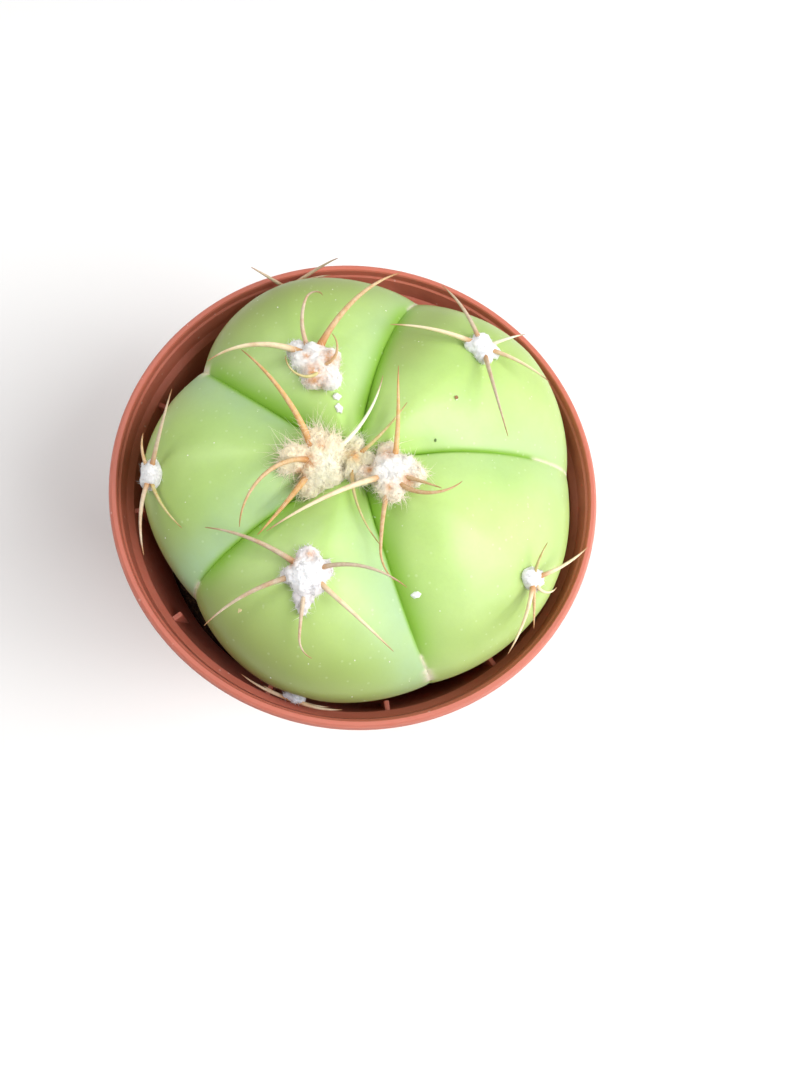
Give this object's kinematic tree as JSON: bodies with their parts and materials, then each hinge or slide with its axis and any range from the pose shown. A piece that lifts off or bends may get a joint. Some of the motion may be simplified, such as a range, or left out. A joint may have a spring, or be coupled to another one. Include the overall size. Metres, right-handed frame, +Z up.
{
  "type": "potted chin cactus",
  "caption": "Flattened, smooth green ribbed cactus with woolly areoles and curved spines, filling the mouth of a small round tapered plant pot.",
  "frame": {"origin": "centre of the pot's flat underside, on the surface the pot stands on", "axes": "+Z up along the pot's axis; the picture's right is about +X and its top about +Y"},
  "size_m": [0.085, 0.085, 0.0897],
  "materials": {
    "pot_plastic": "moulded terracotta-coloured plastic, satin",
    "soil": "rough, loose potting soil",
    "cactus_skin": "waxy satin, bluish bloom in the furrows",
    "wool": "matt felted hair",
    "spines": "horny, satin, brown at root and tip"
  },
  "bodies": {
    "root": {"pot": "pot_plastic", "soil": "soil", "cactus_body": "cactus_skin", "wool_e1": "wool", "wool_c1": "wool", "wool_crown": "wool", "wool_a1": "wool", "wool_d1": "wool", "wool_b1": "wool", "wool_c2": "wool", "wool_e2": "wool", "wool_d2": "wool", "wool_a2": "wool", "spines_e1": "spines", "spines_c1": "spines", "spines_crown": "spines", "spines_a1": "spines", "spines_d1": "spines", "spines_b1": "spines", "spines_c2": "spines", "spines_e2": "spines", "spines_d2": "spines", "spines_a2": "spines"}
  },
  "joints": []
}
